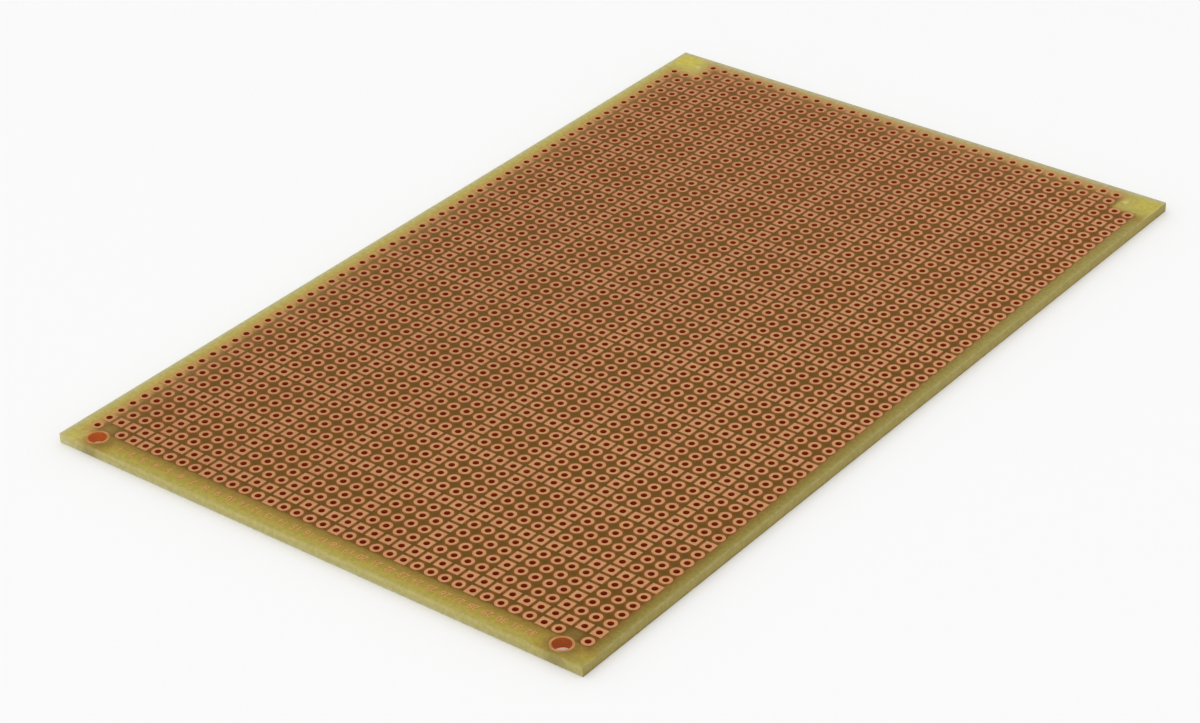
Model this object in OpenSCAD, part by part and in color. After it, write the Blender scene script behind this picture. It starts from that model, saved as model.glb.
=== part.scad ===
// A bare single-height prototyping board: a glass-epoxy sheet filled with plated-through holes on a
// tenth-inch grid. Every hole has a copper pad on both faces. Every fifth column and row has square
// pads on top, to count by. One short edge takes an edge connector, screwed down at two larger holes.
// X runs along the columns, from left to right. Y runs from the connector edge to the far edge.
// Columns are counted from the left and rows from the far edge. The pads underneath stand on Z = 0.

/* [Sheet] */
// Width of the sheet, across its short side
board_w = 100; // [97:0.5:160]
// Length of the sheet, from the connector edge to the far edge
board_l = 160; // [159.5:0.5:220]
// Thickness of the bare glass-epoxy
laminate_t = 1.6; // [0.8:0.1:3.2]

/* [Hole grid] */
// Distance from hole to hole, both ways
pitch = 2.54; // [2.2:0.02:2.54]
// Holes side by side across the sheet
columns = 38; // [12:2:38]
// Holes in line along the sheet
rows = 61; // [20:1:61]
// Columns left out at both far corners
corner_columns = 2; // [0:1:4]
// Rows left out at both far corners
corner_rows = 2; // [0:1:4]
// Diameter of the finished holes, inside the plating
hole_d = 1.02; // [0.8:0.02:1.2]

/* [Copper] */
// Diameter of the round pads
pad_d = 2; // [1.5:0.05:2.1]
// Width of the square pads
square_pad_w = 2; // [1.5:0.05:2.1]
// Thickness of the copper on both faces
foil_t = 0.035; // [0.035:0.005:0.105]
// Thickness of the copper on the wall of a hole
plating_t = 0.025; // [0.02:0.005:0.05]
// Every so many columns and rows the pads are square
count_step = 5; // [2:1:10]

/* [Edge connector] */
// Contacts of the connector that the sheet takes, side by side
connector_ways = 32; // [6:2:32]
// Distance from the connector edge to the mounting holes
mount_inset = 2.54; // [2:0.02:4]
// Holes along the row between the mounting holes and the connector's first and last contact
mount_offset = 2; // [1:1:3]
// Diameter of the finished mounting holes
mount_hole_d = 2.9; // [2.2:0.1:3]
// Diameter of the copper ring around a mounting hole
mount_pad_d = 3.65; // [3.2:0.05:3.8]

/* [Hidden] */
$fn = 48;
// the connector's first contact, whose pad is square to mark it
pin_one = (columns - connector_ways) / 2 + 1;
mount_columns = [pin_one - mount_offset, columns - pin_one + 1 + mount_offset];
// the mounting holes take the place of a row past the last one
mount_row = rows + 1;
// how far a cut runs past the face it opens
over = 1;
// hairlines across both faces, finer than a scratch, part each face into bands of this many rows
band_rows = 10;
hairline_w = 0.02;

function column_x(c) = (c - (columns + 1) / 2) * pitch;
function row_y(r) = mount_inset - board_l / 2 + (mount_row - r) * pitch;

function at_far_corner(c, r) = r <= corner_rows && (c <= corner_columns || c > columns - corner_columns);
function beside_mount(c, r) = r == rows && (c == mount_columns[0] || c == mount_columns[1]);
function has_pad(c, r) = !at_far_corner(c, r) && !beside_mount(c, r);
function is_square(c, r) = c % count_step == 0 || r % count_step == 0 || (c == pin_one && r == rows);

function two_digits(n) = str(n < 10 ? "0" : "", n);
function column_name(c) = str("pads_column_", two_digits(c));

module on_grid(c, r) {
    translate([column_x(c), row_y(r), 0]) children();
}

// The sheet's outline, drilled wide enough for the copper that lines each hole.
module drilled_outline() {
    difference() {
        square([board_w, board_l], center = true);
        for (c = [1 : columns], r = [1 : rows])
            if (has_pad(c, r)) on_grid(c, r) circle(d = hole_d + 2 * plating_t);
        for (c = mount_columns)
            on_grid(c, mount_row) circle(d = mount_hole_d + 2 * plating_t);
    }
}

// A square bar on its corner, which scribes a groove half as deep as it is wide.
module hairline(z) {
    side = hairline_w / sqrt(2);
    translate([0, 0, z]) rotate([45, 0, 0]) cube([board_w + 2 * over, side, side], center = true);
}

module laminate() {
    color("darkkhaki")
    difference() {
        translate([0, 0, foil_t]) linear_extrude(laminate_t) drilled_outline();
        for (r = [band_rows : band_rows : rows - 1], z = [foil_t, foil_t + laminate_t])
            translate([0, row_y(r + 0.5), 0]) hairline(z);
    }
}

// One piece of copper: a round pad on each face, joined by the plating on the wall of the hole.
module round_eyelet(hole, pad) {
    barrel_r = hole / 2 + plating_t;
    top = foil_t + laminate_t;
    rotate_extrude()
    polygon([
        [hole / 2, 0], [pad / 2, 0], [pad / 2, foil_t], [barrel_r, foil_t],
        [barrel_r, top], [pad / 2, top], [pad / 2, top + foil_t], [hole / 2, top + foil_t]
    ]);
}

// The same with a square pad on top, and a round one underneath.
module square_eyelet(hole, pad, width) {
    top = foil_t + laminate_t;
    difference() {
        union() {
            cylinder(d = pad, h = foil_t);
            cylinder(d = hole + 2 * plating_t, h = top + foil_t);
            translate([-width / 2, -width / 2, top]) cube([width, width, foil_t]);
        }
        translate([0, 0, -over]) cylinder(d = hole, h = top + foil_t + 2 * over);
    }
}

module pads_column(c) {
    color("peru")
    for (r = [1 : rows])
        if (has_pad(c, r))
            on_grid(c, r)
            if (is_square(c, r)) square_eyelet(hole_d, pad_d, square_pad_w);
            else round_eyelet(hole_d, pad_d);
}

module mounting_eyelets() {
    color("peru")
    for (c = mount_columns)
        on_grid(c, mount_row) round_eyelet(mount_hole_d, mount_pad_d);
}

laminate();
mounting_eyelets();
for (c = [1 : columns])
    pads_column(c);
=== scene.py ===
import math

import bmesh
import bpy
from mathutils import Matrix, Vector


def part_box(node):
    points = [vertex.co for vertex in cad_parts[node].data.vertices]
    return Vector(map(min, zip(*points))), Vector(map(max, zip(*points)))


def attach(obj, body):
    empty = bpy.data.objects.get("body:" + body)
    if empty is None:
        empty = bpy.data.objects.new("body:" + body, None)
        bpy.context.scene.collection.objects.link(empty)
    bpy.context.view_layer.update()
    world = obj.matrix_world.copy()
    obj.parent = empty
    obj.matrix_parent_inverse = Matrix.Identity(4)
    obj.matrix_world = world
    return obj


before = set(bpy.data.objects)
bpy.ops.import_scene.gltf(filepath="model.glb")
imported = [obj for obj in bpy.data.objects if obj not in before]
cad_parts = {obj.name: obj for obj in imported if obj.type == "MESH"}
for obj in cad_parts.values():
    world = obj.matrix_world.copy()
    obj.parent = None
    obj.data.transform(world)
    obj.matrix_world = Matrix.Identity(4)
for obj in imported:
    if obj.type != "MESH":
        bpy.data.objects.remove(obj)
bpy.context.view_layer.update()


# ---- The sheet ----
# Bare glass-epoxy, pressed from plies of woven glass and sawn to size, with no solder mask on it.
# Light soaks into it, so the open rim glows yellow-green, and it is olive between the pads, which
# shade it from both faces; this light and shade are painted into its colour. Sizes are in
# millimetres down to the section on the table.

MM = 0.001
TURN = 2 * math.pi


def dye(red, green, blue):
    """A colour from its 0 to 255 values on a screen, as the linear light that a shader mixes."""
    def linear(value):
        share = value / 255
        return share / 12.92 if share < 0.039 else ((share + 0.055) / 1.055) ** 2.4
    return linear(red), linear(green), linear(blue), 1


class Value:
    """A number that a finish works out for each point. Sums with it add the Math nodes for them."""

    def __init__(self, finish, socket):
        self.finish, self.socket = finish, socket

    def math(self, operation, *values):
        sockets = dict(enumerate(values))
        return self.finish.node("ShaderNodeMath", {"operation": operation}, sockets)

    def __add__(self, other): return self.math("ADD", self, other)
    def __radd__(self, other): return self.math("ADD", other, self)
    def __sub__(self, other): return self.math("SUBTRACT", self, other)
    def __rsub__(self, other): return self.math("SUBTRACT", other, self)
    def __mul__(self, other): return self.math("MULTIPLY", self, other)
    def __rmul__(self, other): return self.math("MULTIPLY", other, self)
    def __truediv__(self, other): return self.math("DIVIDE", self, other)
    def __pow__(self, other): return self.math("POWER", self, other)
    def __abs__(self): return self.math("ABSOLUTE", self)
    def sine(self): return self.math("SINE", self)
    def fraction(self): return self.math("FRACT", self)
    def at_least(self, other): return self.math("MAXIMUM", self, other)
    def at_most(self, other): return self.math("MINIMUM", self, other)

    def rise(self, start, end):
        """0 up to start, 1 from end on, and a smooth rise between them."""
        return self.finish.node(
            "ShaderNodeMapRange", {"interpolation_type": "SMOOTHSTEP"},
            {"Value": self, "From Min": start, "From Max": end, "To Min": 0.0, "To Max": 1.0})

    def fall(self, start, end):
        """1 up to start, 0 from end on, and a smooth fall between them."""
        return 1 - self.rise(start, end)


class Finish:
    """A material under construction, and the ways to add to it."""

    def __init__(self, name):
        self.material = bpy.data.materials.new(name)
        self.material.use_nodes = True
        self.nodes = self.material.node_tree.nodes
        self.links = self.material.node_tree.links
        self.shader = self.nodes["Principled BSDF"]

    def node(self, kind, settings, sockets, output=0):
        """One output of a new node, whose settings are made before its sockets are filled."""
        made = self.nodes.new(kind)
        for name, setting in settings.items():
            setattr(made, name, setting)
        self.fill(made, sockets)
        return Value(self, made.outputs[output])

    def fill(self, node, sockets):
        """Link the sockets that are given a Value, and set the others."""
        for name, value in sockets.items():
            if isinstance(value, Value):
                self.links.new(value.socket, node.inputs[name])
            else:
                node.inputs[name].default_value = value

    def place(self):
        """The point's own X, Y and Z."""
        point = self.node("ShaderNodeTexCoord", {}, {}, "Object")
        split = self.node("ShaderNodeSeparateXYZ", {}, {0: point}).socket.node
        return [Value(self, split.outputs[axis]) * (1 / MM) for axis in "XYZ"]

    def clouds(self, size, detail=3.0, stretch=(1, 1, 1)):
        """Soft random clouds from 0 to 1, with features about this wide. A stretch under 1 draws
        them out along that axis."""
        point = self.node("ShaderNodeTexCoord", {}, {}, "Object")
        turned = self.node("ShaderNodeMapping", {}, {"Vector": point, "Scale": stretch})
        return self.node(
            "ShaderNodeTexNoise", {"noise_dimensions": "3D"},
            {"Vector": turned, "Scale": 1 / (size * MM), "Detail": detail, "Roughness": 0.55},
            "Fac")

    def blend(self, share, first, second, way="MIX"):
        """The first colour turning into the second as share goes from 0 to 1."""
        made = self.node("ShaderNodeMix", {"data_type": "RGBA", "blend_type": way}, {}).socket.node
        self.fill(made, {0: share, 6: first, 7: second})
        return Value(self, made.outputs[2])

    def shades(self, share, stops):
        """A colour band: share runs along it, and stops are (place on the band, colour)."""
        made = self.node("ShaderNodeValToRGB", {}, {"Fac": share}).socket.node
        band = made.color_ramp
        for place, colour in stops[1:-1]:
            band.elements.new(place)
        for element, (place, colour) in zip(band.elements, stops):
            element.position, element.color = place, colour
        return Value(self, made.outputs["Color"])

    def relief(self, height, depth):
        """Bumps of this depth, where height runs from 0 to 1."""
        bump = self.node(
            "ShaderNodeBump", {}, {"Height": height, "Distance": depth * MM, "Strength": 1.0})
        self.fill(self.shader, {"Normal": bump})

    def dress(self, piece):
        """Make this the piece's only material."""
        piece.data.materials.clear()
        piece.data.materials.append(self.material)


# the sheet's outline, the grid of pads and the two mounting rings
COLUMNS = 38
SHORT_COLUMN, LONG_COLUMN = 1, 3
sheet_low, sheet_high = (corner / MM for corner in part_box("laminate"))
mount_low, mount_high = (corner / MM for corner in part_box("mounting_eyelets"))
column_boxes = {
    c: [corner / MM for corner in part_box("pads_column_%02d" % c)] for c in range(1, COLUMNS + 1)}


def column_middle(c): return sum(column_boxes[c], Vector()).x / 2
def column_left(c): return column_boxes[c][0].x
def column_far_end(c): return column_boxes[c][1].y


first_column = column_middle(1)
pitch = column_middle(2) - first_column
pad_radius = column_boxes[1][1].x - first_column
near_row_edge = column_boxes[1][0].y
nearest_row = near_row_edge + pad_radius
pads_left, pads_right = column_left(1), -column_left(1)
short_column_end, long_column_end = column_far_end(SHORT_COLUMN), column_far_end(LONG_COLUMN)
ring_radius = (mount_high.y - mount_low.y) / 2
ring_x, ring_y = mount_high.x - ring_radius, (mount_low.y + mount_high.y) / 2

glass_epoxy = Finish("glass_epoxy")
x, y, z = glass_epoxy.place()


def distance(along_x, along_y):
    """How long a step is that goes this far along X and this far along Y."""
    return (along_x * along_x + along_y * along_y) ** 0.5


def outside(x, y, right, low, high, under):
    """How far a point is outside a block of pads that reaches as far left as right, or outside what
    is left of it when a strip as wide as under is taken off all round."""
    across = (abs(x) - right + under).at_least(0)
    along = (abs(y - (low + high) / 2) - (high - low) / 2 + under).at_least(0)
    return distance(across, along)


def from_field(x, y, under=0):
    """How far a point is outside all the pads. The outermost two columns on each side end short."""
    long_block = outside(x, y, -column_left(LONG_COLUMN), near_row_edge, long_column_end, under)
    wide_block = outside(x, y, pads_right, near_row_edge, short_column_end, under)
    return long_block.at_most(wide_block)


def from_ring_shade(ring, shift, spread=0):
    """How far a point is from the middle of a mounting ring's shade, less the shade's spread."""
    return distance(x - ring - shift[0], y - ring_y - shift[1]) - spread


# the pads and rings on both faces cast painted shade on the resin, the rings' a little to their
# right
left_shade = from_ring_shade(-ring_x, shift=(0.9, 0))
right_shade = from_ring_shade(ring_x, shift=(0.2, 0.3), spread=0.4)
from_rings = (left_shade.at_most(right_shade) - ring_radius).at_least(0)
from_pads = from_field(x, y)
ring_fade, ring_glimmer = 1.2, 0.3
from_copper = from_pads.at_most(from_rings * ring_fade + ring_glimmer)
among_pads = from_pads.fall(0.0, 0.2)

# painted shade: olive between the pads, clearing outside them, from a little way under their
# outline on
fog = glass_epoxy.clouds(9) - 0.5
light_creep, shade_fade_width = 0.4, 4.5
from_dark = from_field(x, y, light_creep).at_most(from_copper + light_creep)
shade_fade = (from_dark + fog * 0.3 * from_pads.rise(0, 0.5)) / shade_fade_width
resin_and_painted_light = glass_epoxy.shades(shade_fade, [
    (0.0, dye(97, 67, 12)), (0.067, dye(107, 77, 20)), (0.13, dye(130, 104, 40)),
    (0.18, dye(137, 111, 44)), (0.358, dye(155, 127, 55)), (0.533, dye(164, 140, 57)),
    (0.713, dye(169, 151, 65)), (0.844, dye(172, 157, 74)), (0.944, dye(172, 159, 83))])

# painted shade: the margin on the right gets the least light and is painted a duller green, paler
# towards the far end, but for its two ends
shaded_rim_width = 2.1
from_right = (sheet_high.x - x + fog * 0.2) / shaded_rim_width
shaded_right_rim = glass_epoxy.shades(from_right, [
    (0.0, dye(156, 142, 82)), (0.13, dye(150, 136, 75)), (0.32, dye(143, 129, 62)),
    (0.51, dye(137, 120, 54)), (0.70, dye(132, 109, 47)), (0.89, dye(128, 98, 41))])
shaded_right_rim = glass_epoxy.blend(y.rise(-70, 75) * 0.35, shaded_right_rim, dye(168, 158, 90))
past_near_end = y.rise(sheet_low.y + 2.4, sheet_low.y + 5.0)
before_far_end = y.fall(short_column_end - 4.5, short_column_end + 0.8)
beside_right = x.rise(pads_right - 0.3, pads_right + 0.1) * past_near_end * before_far_end
resin_and_painted_light = glass_epoxy.blend(beside_right, resin_and_painted_light, shaded_right_rim)


def across_cell(x, y):
    """Where a point lies in its own square of the grid, in pitches from the middle of the hole."""
    cell_x = ((x - first_column) / pitch + 0.5).fraction() - 0.5
    cell_y = ((y - nearest_row) / pitch + 0.5).fraction() - 0.5
    return cell_x, cell_y


# painted glow: light that the copper turns brown glows round every pad, most of all where two pads
# are close
painted_glow_width = 0.52
cell_x, cell_y = across_cell(x, y)
from_pad = distance(cell_x, cell_y) * pitch
off_axis = abs(cell_x).at_most(abs(cell_y)) * pitch
painted_glow = from_pad.fall(pad_radius, pad_radius + painted_glow_width) * (1 - off_axis.rise(0.2, 1.1) * 0.6)

# the place beside each mounting hole has no pad, so there is no painted glow there, and painted
# light makes the resin paler
gap_x, gap_y = abs(x) - ring_x, y - nearest_row
outside_gap = abs(gap_x).at_least(abs(gap_y)) - pitch / 2
painted_glow = painted_glow * among_pads * outside_gap.rise(0, 0.5)
resin_and_painted_light = glass_epoxy.blend(painted_glow, resin_and_painted_light, dye(134, 74, 24))
resin_and_painted_light = glass_epoxy.blend(distance(gap_x, gap_y).fall(0.6, 1.9) * 0.5, resin_and_painted_light, dye(147, 119, 61))


def behind_edge(x, y):
    """How far a point is inside the left and far outlines of the pads."""
    wide_block = (x - pads_left).at_most(short_column_end - y)
    long_block = (x - column_left(LONG_COLUMN)).at_most(long_column_end - y)
    return wide_block.at_least(long_block)


# painted light: light comes in through the left and far edges, and creeps on under the outermost
# pads
depth = behind_edge(x, y)
painted_edge_light = depth.fall(0.3, 2.3) * 0.8 + depth.fall(1, 7) * 0.22
resin_and_painted_light = glass_epoxy.blend(painted_edge_light, resin_and_painted_light, dye(183, 150, 84))

# painted light: so the margin is palest along those edges, most of all in the two bare corners, and
# darker to the right
lit_width, margin_reach, corner_reach = 3.4, 2.2, 2.0
in_far_corner = y.rise(short_column_end - 4, short_column_end + 1)
from_shade = from_field(x - 0.4, y + 0.7).at_most(margin_reach + in_far_corner * corner_reach)
lit_rim = glass_epoxy.shades((from_shade + fog * 0.3) / lit_width, [
    (0.0, dye(176, 144, 71)), (0.24, dye(182, 161, 83)), (0.34, dye(183, 166, 87)),
    (0.46, dye(182, 168, 88)), (0.60, dye(185, 172, 89)), (0.80, dye(191, 177, 83)),
    (1.0, dye(197, 183, 79))])
lit_rim = glass_epoxy.blend(x.rise(20, 50) * 0.45, lit_rim, dye(170, 158, 78))
far_strip = y.rise(long_column_end - 1, long_column_end) * abs(x).fall(ring_x - 2, ring_x)
lit_rim = glass_epoxy.blend(far_strip * 0.5, lit_rim, dye(173, 143, 100))
from_left, from_far = x - sheet_low.x, sheet_high.y - y
lit_rim = glass_epoxy.blend(from_left.fall(0.1, 1.2) * 0.75, lit_rim, dye(184, 179, 140))
lit_rim = glass_epoxy.blend(from_far.fall(0.1, 1.5) * 0.82, lit_rim, dye(182, 174, 142))

# painted light: below the pads light from the left reaches further in, and the near right corner is
# a little lit
below_pads = y.fall(near_row_edge - 0.6, near_row_edge)
beside_pads = x.fall(pads_left + 0.25, pads_left + 0.65)
beside_left = beside_pads.at_least(x.fall(pads_left + 0.2, pads_left + 3.1) * below_pads)
near_strip = y.fall(ring_y - 1.6, ring_y + 0.1)
resin_and_painted_light = glass_epoxy.blend(x.rise(40, 46) * near_strip * 0.4, resin_and_painted_light, dye(147, 139, 70))
beside_far = y.rise(short_column_end - 1.6, short_column_end + 1.2)
lit_margin = beside_left.at_least(beside_far) * from_shade.rise(0, 0.35)
resin_and_painted_light = glass_epoxy.blend(lit_margin, resin_and_painted_light, lit_rim)

# towards the far edge it is a little redder between the pads
resin_and_painted_light = glass_epoxy.blend(y.rise(0, 80) * among_pads * 0.07, resin_and_painted_light, dye(180, 80, 10))

# the weave of the glass cloth, and a darker knot here and there
warp, weft = 0.56, 0.50
weave = ((x * (TURN / warp)).sine() * (y * (TURN / weft)).sine()) * 0.5 + 0.5
resin_and_painted_light = glass_epoxy.blend(weave * 0.05, resin_and_painted_light, dye(190, 165, 80))
knots = glass_epoxy.clouds(0.35, detail=2.0)
resin_and_painted_light = glass_epoxy.blend(knots.rise(0.45, 0.8) * 0.14, resin_and_painted_light, dye(70, 58, 22))

# a faint pale spot in each far corner, and the rim that the saw has frosted, painted paler still by
# the light along the lit margins
spot_y = sheet_high.y - 3.8
from_spot = distance(abs(x) - ring_x, y - spot_y)
resin_and_painted_light = glass_epoxy.blend(from_spot.fall(0.2, 0.9) * 0.35, resin_and_painted_light, dye(222, 212, 150))
from_edge = (sheet_high.x - abs(x)).at_most(sheet_high.y - abs(y))
frost = from_edge.fall(0.05, 0.34) * glass_epoxy.clouds(1.1).rise(0.15, 0.6)
resin_and_painted_light = glass_epoxy.blend(frost * (0.14 + lit_margin * 0.26), resin_and_painted_light, dye(200, 194, 138))

# the sawn edge: plies of cloth one above the other, streaked by the saw, with painted light and
# shade:
# duller on the right face and towards the right, its foot paler on the near face and darker on the
# right
ply = 0.2
height = (z - sheet_low.z) / (sheet_high.z - sheet_low.z)
plies = (z * (TURN / ply) + glass_epoxy.clouds(2.2, detail=2.0) * 3.0).sine() * 0.5 + 0.5
streaks = glass_epoxy.clouds(0.5, stretch=(0.12, 0.12, 2.5))
up_cut = height + (streaks - 0.5) * 0.3
lit_near_cut = glass_epoxy.shades(up_cut, [
    (0.0, dye(191, 187, 144)), (0.26, dye(184, 175, 118)), (0.57, dye(186, 175, 112)),
    (0.8, dye(192, 179, 115)), (1.0, dye(188, 175, 104))])
lit_near_cut = glass_epoxy.blend(x.rise(20, 48) * 0.25, lit_near_cut, dye(160, 145, 80))
shaded_right_cut = glass_epoxy.shades(up_cut, [
    (0.0, dye(114, 101, 40)), (0.15, dye(151, 137, 78)), (0.4, dye(158, 144, 84)),
    (0.75, dye(160, 145, 86)), (1.0, dye(161, 149, 92))])
shaded_right_cut = glass_epoxy.blend(y.rise(-75, 75) * 0.3, shaded_right_cut, dye(168, 150, 92))
on_right = x.rise(sheet_high.x - 0.06, sheet_high.x - 0.01)
cut_and_painted_light = glass_epoxy.blend(on_right, lit_near_cut, shaded_right_cut)
cut_and_painted_light = glass_epoxy.blend(plies * 0.12, cut_and_painted_light, dye(120, 108, 58))

# painted shade and light: the eyelets shade it, and by the near left corner light from both edges
# meets
below_ring = abs(abs(x - 0.7) - ring_x).fall(0.2, 2.8)
on_near = y.fall(sheet_low.y + 0.5, sheet_low.y + 2)
cut_and_painted_light = glass_epoxy.blend(below_ring * 0.5 * on_near, cut_and_painted_light, dye(128, 108, 64))
cut_and_painted_light = glass_epoxy.blend(from_left.fall(0, 4.5) * 0.55, cut_and_painted_light, dye(205, 198, 146))
on_cut = from_edge.fall(0.004, 0.02)
resin_and_painted_light = glass_epoxy.blend(on_cut, resin_and_painted_light, cut_and_painted_light)

# small uneven patches all over, darker where the fibres lie denser and paler between
fibre_shade = dye(248, 248, 242)
dense = glass_epoxy.clouds(0.8).rise(0.38, 0.62)
resin_and_painted_light = glass_epoxy.blend(dense, resin_and_painted_light, fibre_shade, "MULTIPLY")
resin_and_painted_light = glass_epoxy.blend(1 - dense, resin_and_painted_light, fibre_shade, "DIVIDE")

glass_epoxy.fill(glass_epoxy.shader, {
    "Base Color": resin_and_painted_light,
    "Roughness": 0.42 + knots * 0.1 + on_cut * 0.25,
    "IOR": 1.5,
    "Specular IOR Level": 0.06,
})
glass_epoxy.relief(weave * 0.5 + streaks * on_cut + knots * 0.4, depth=0.008)
glass_epoxy.dress(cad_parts["laminate"])


# ---- The pads and their barrels ----
# Each hole is one piece of bare copper: foil etched to a pad on both faces, and plating that joins
# them down the wall of the hole. The foil is brushed and a little tarnished, and deep in the hole
# it is painted dark red, the painted shade of light bounced about between its copper walls.

copper = Finish("bare_copper")
x, y, z = copper.place()
blotches = copper.clouds(14)
mottle = copper.clouds(0.7)
brushing = copper.clouds(0.12, detail=2.0, stretch=(0.08, 1.0, 1.0))
# painted light makes the foil brighter towards the right and the near edge, over random blotches
blotches_and_painted_light = 0.5 + x * 0.006 - y * 0.002 + (blotches - 0.5) * 0.6
foil_and_painted_light = copper.shades(blotches_and_painted_light, [
    (0.25, dye(190, 133, 84)), (0.5, dye(196, 140, 90)), (0.75, dye(205, 149, 98))])
foil_and_painted_light = copper.blend(mottle.rise(0.35, 0.75) * 0.35, foil_and_painted_light, dye(174, 105, 68))
foil_and_painted_light = copper.blend(brushing * 0.12, foil_and_painted_light, dye(222, 174, 136))

# painted light: by the lit edges it takes on the yellow of the light that comes through the resin
edge_light_share = 0.62 - y.rise(short_column_end, short_column_end + 2) * 0.3
foil_and_painted_light = copper.blend(behind_edge(x, y).fall(0.1, 1.9) * edge_light_share, foil_and_painted_light, dye(197, 158, 78))

# the mounting eyelets are a little more golden
on_eyelet = distance(abs(x) - ring_x, y - ring_y).fall(ring_radius, ring_radius + 0.1)
foil_and_painted_light = copper.blend(on_eyelet * 0.5, foil_and_painted_light, dye(212, 153, 72))

# each pad is darker in a thin band along its etched outline
outline_width = 0.14
cell_x, cell_y = across_cell(x, y)
to_outline = abs(cell_x).at_least(abs(cell_y)) * pitch
foil_and_painted_light = copper.blend(
    to_outline.rise(pad_radius - outline_width, pad_radius) * 0.4, foil_and_painted_light, dye(156, 88, 53))

# the wall of the hole, between the two faces, is painted shade: the dark red of light bounced about
# in it, more orange towards the far edge; in the eyelets it is orange, darker on the right
foil_thickness = sheet_low.z
above_underside = (z - foil_thickness / 2).rise(0, foil_thickness / 2)
below_top = (z - sheet_high.z).fall(-0.03, foil_thickness / 2)
in_hole = above_underside * below_top
wall_painted_shade = copper.shades(mottle, [(0.2, dye(174, 58, 0)), (0.8, dye(192, 70, 4))])
wall_painted_shade = copper.blend(y.rise(0, 80) * 0.35, wall_painted_shade, dye(205, 95, 8))
eyelet_wall_painted_shade = copper.shades(mottle, [(0.2, dye(204, 113, 46)), (0.8, dye(220, 128, 56))])
eyelet_wall_painted_shade = copper.blend(x.rise(-ring_x, ring_x) * 0.35, eyelet_wall_painted_shade, dye(150, 70, 22))
wall_painted_shade = copper.blend(on_eyelet, wall_painted_shade, eyelet_wall_painted_shade)
foil_and_painted_light = copper.blend(in_hole, foil_and_painted_light, wall_painted_shade)

copper.fill(copper.shader, {
    "Base Color": foil_and_painted_light,
    "Metallic": 0.7 - in_hole * 0.2,
    "Roughness": 0.42 + mottle * 0.16 + in_hole * 0.1,
})
copper.relief(mottle * 0.6 + brushing * 0.4, depth=0.006)
for name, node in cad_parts.items():
    if name != "laminate":
        copper.dress(node)


# ---- The contact numbers ----
# Plain numbers that count the connector's 32 contacts, left standing in the foil when the rest was
# etched away. They are thin strokes of the same copper, and are read from the far edge.

CONTACTS, FIRST_CONTACT_COLUMN = 32, 4
FONT_SIZE, FONT_ROUNDNESS = 1.8, 3
SAME_POINT = 1e-4
numbers_y, numbers_z = ring_y - 0.4, sheet_high.z + foil_thickness / 2


def piece_from(loose_mesh, name):
    """A new object in the scene, from a mesh that isn't needed after that."""
    data = bpy.data.meshes.new(name)
    loose_mesh.to_mesh(data)
    loose_mesh.free()
    piece = bpy.data.objects.new(name, data)
    bpy.context.scene.collection.objects.link(piece)
    return piece


numbers_mesh = bmesh.new()
for contact in range(CONTACTS):
    line = bpy.data.curves.new("contact_number", "FONT")
    line.body = str(contact + 1)
    line.size, line.extrude = FONT_SIZE * MM, foil_thickness / 2 * MM
    line.align_x, line.align_y = "CENTER", "CENTER"
    line.resolution_u = FONT_ROUNDNESS
    lettering = bpy.data.objects.new("contact_number", line)
    bpy.context.scene.collection.objects.link(lettering)
    bpy.context.view_layer.update()
    drawn = lettering.evaluated_get(bpy.context.evaluated_depsgraph_get())
    letters = bpy.data.meshes.new_from_object(drawn)
    numbers_x = column_middle(FIRST_CONTACT_COLUMN + contact)
    letters.transform(
        Matrix.Translation((numbers_x * MM, numbers_y * MM, numbers_z * MM))
        @ Matrix.Rotation(math.pi, 4, "Z"))
    numbers_mesh.from_mesh(letters)
    bpy.data.objects.remove(lettering)
    bpy.data.curves.remove(line)
    bpy.data.meshes.remove(letters)
bmesh.ops.remove_doubles(numbers_mesh, verts=numbers_mesh.verts, dist=SAME_POINT * MM)
numbers = piece_from(numbers_mesh, "contact_numbers")

etched_copper = Finish("etched_copper")
wear = etched_copper.clouds(0.9)
strokes = etched_copper.shades(wear, [
    (0.25, dye(196, 150, 84)), (0.6, dye(214, 150, 100)), (0.85, dye(226, 164, 120))])
etched_copper.fill(etched_copper.shader, {
    "Base Color": strokes, "Metallic": 0.6, "Roughness": 0.45 + wear * 0.15})
etched_copper.relief(wear, depth=0.004)
etched_copper.dress(numbers)
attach(numbers, "root")


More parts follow.
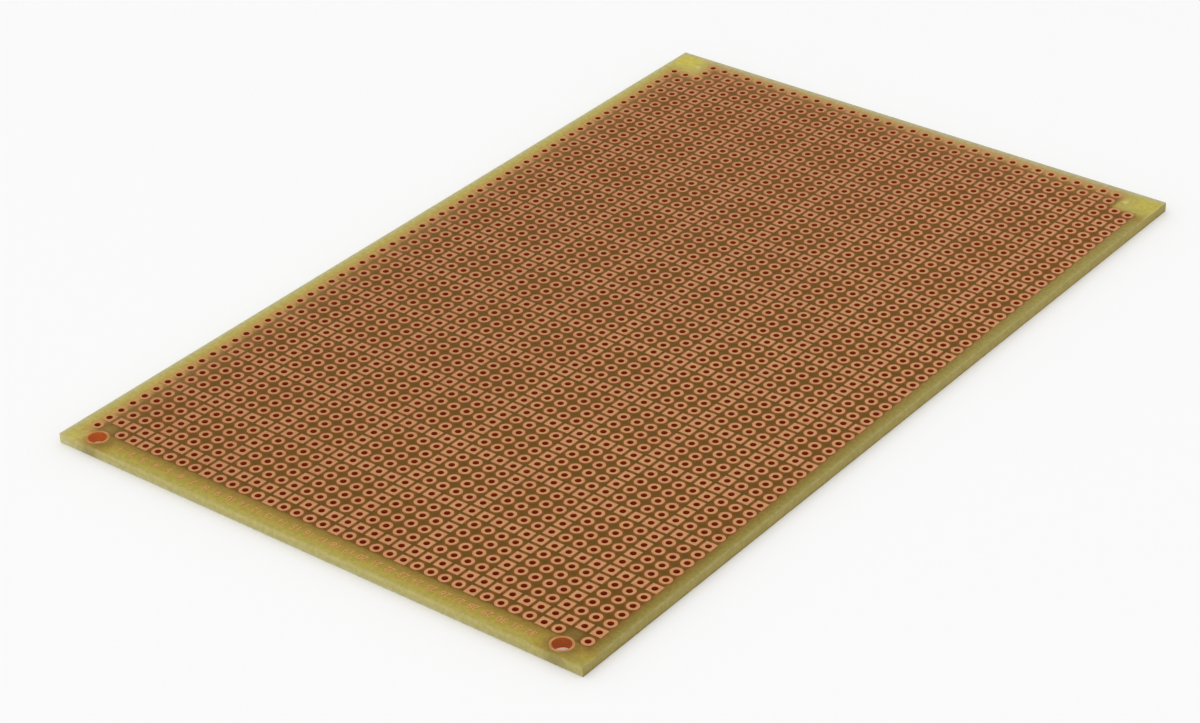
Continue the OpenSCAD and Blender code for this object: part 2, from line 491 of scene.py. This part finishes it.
# ---- The table and the light ----
# A plain white table top under a white dome, with one broad soft lamp in front of the connector
# edge, aimed at the middle of the sheet. Sizes are in metres from here on.

TABLE_HALF_WIDTH = 3.0
DOME_STRENGTH = 0.95
LAMP_WIDTH, LAMP_POWER = 2.0, 4.0

table_mesh = bmesh.new()
bmesh.ops.create_grid(table_mesh, x_segments=1, y_segments=1, size=TABLE_HALF_WIDTH)
table = piece_from(table_mesh, "table_top")
table_white = Finish("table_white")
table_white.fill(table_white.shader, {
    "Base Color": (0.96, 0.96, 0.96, 1), "Roughness": 0.8, "Specular IOR Level": 0.1})
table_white.dress(table)

dome = bpy.data.worlds.new("dome")
dome.use_nodes = True
sky = dome.node_tree.nodes["Background"]
sky.inputs["Color"].default_value = (1.0, 1.0, 1.0, 1)
sky.inputs["Strength"].default_value = DOME_STRENGTH
bpy.context.scene.world = dome

lamp_data = bpy.data.lights.new("soft_lamp", "AREA")
lamp_data.shape, lamp_data.size, lamp_data.energy = "SQUARE", LAMP_WIDTH, LAMP_POWER
lamp = bpy.data.objects.new("soft_lamp", lamp_data)
lamp.location = (0.35, -1.4, 1.8)
lamp.rotation_euler = (-lamp.location).to_track_quat("-Z", "Y").to_euler()
bpy.context.scene.collection.objects.link(lamp)

bpy.context.scene.view_settings.view_transform = "Standard"


# ---- The camera ----
# A long lens above the connector edge's right end, looking down along the sheet with a slight roll.

SENSOR_WIDTH, FOCAL_LENGTH = 36.0, 96.14
NEAREST, FARTHEST = 0.01, 20.0
TILT, ROLL, HEADING = 58.588, 1.191, 37.519

camera_data = bpy.data.cameras.new("camera")
camera_data.sensor_fit = "HORIZONTAL"
camera_data.sensor_width, camera_data.lens = SENSOR_WIDTH, FOCAL_LENGTH
camera_data.clip_start, camera_data.clip_end = NEAREST, FARTHEST
camera = bpy.data.objects.new("camera", camera_data)
camera.location = (0.26710, -0.35005, 0.26133)
camera.rotation_euler = [math.radians(angle) for angle in (TILT, ROLL, HEADING)]
bpy.context.scene.collection.objects.link(camera)
bpy.context.scene.camera = camera
